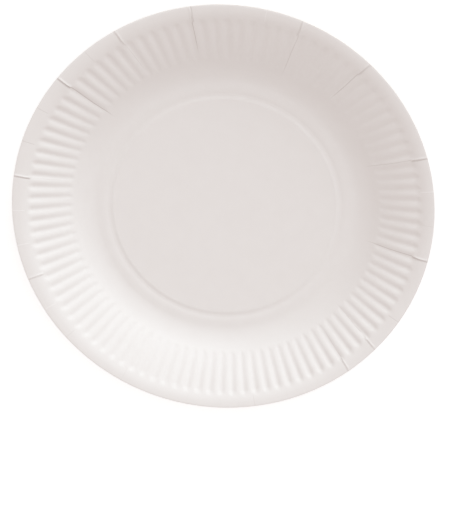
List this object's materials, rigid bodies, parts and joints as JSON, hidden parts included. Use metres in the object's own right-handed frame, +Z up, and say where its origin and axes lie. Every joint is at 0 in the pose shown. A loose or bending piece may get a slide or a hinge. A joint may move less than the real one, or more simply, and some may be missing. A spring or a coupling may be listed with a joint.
{
  "type": "paper plate",
  "caption": "Round pressed paper plate with a flat floor, a foot ring, a fluted sloping wall and a plain lip, for serving food.",
  "frame": {"origin": "middle of the plate on the plane that its foot ring stands on", "axes": "+Z up through the open top, out of the plate's axis"},
  "size_m": [0.23, 0.23, 0.0175],
  "materials": {
    "coated_board": "white coated board, smooth with a soft sheen on the food side, plain uncoated board underneath"
  },
  "bodies": {
    "root": {"paper_plate": "coated_board"}
  },
  "joints": []
}
